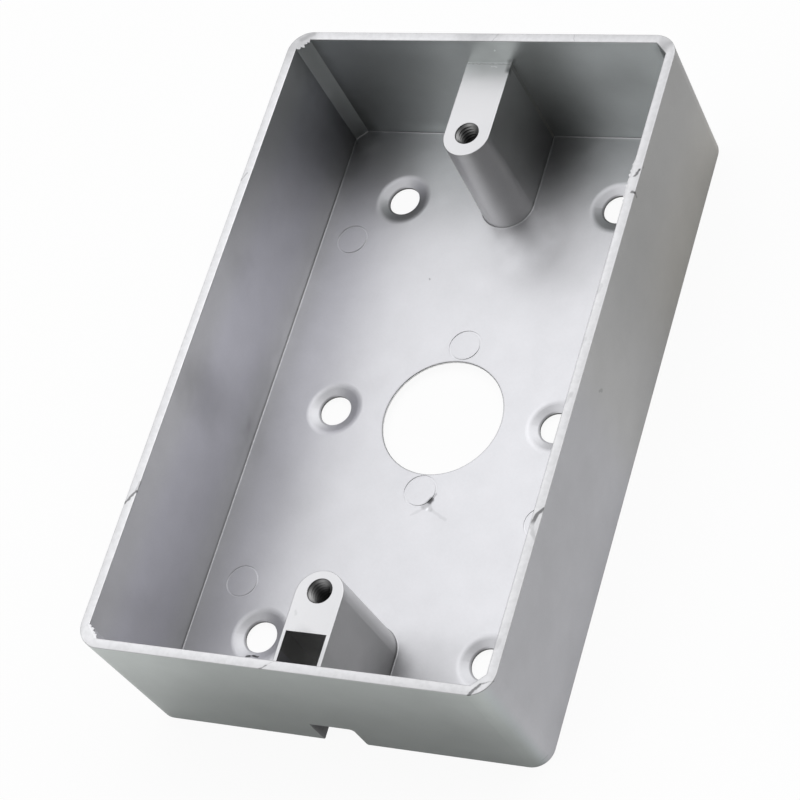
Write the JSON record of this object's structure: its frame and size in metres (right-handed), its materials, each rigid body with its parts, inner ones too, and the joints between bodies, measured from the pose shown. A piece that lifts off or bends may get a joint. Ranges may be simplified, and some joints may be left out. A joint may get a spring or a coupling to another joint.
{
  "type": "metal mounting box",
  "caption": "Shallow one-piece cast aluminium box with an open front, screw posts inside its end walls, dished wall-screw holes, a round cable hole and a cable notch.",
  "frame": {"origin": "middle of the back plane, which stands on the surface", "axes": "+Z from the back to the open rim, +Y along the length, away from the cable notch"},
  "size_m": [0.07, 0.115, 0.028],
  "materials": {
    "cast_aluminium": "fine satin, as cast and blasted"
  },
  "bodies": {
    "root": {"mounting_box": "cast_aluminium"}
  },
  "joints": []
}
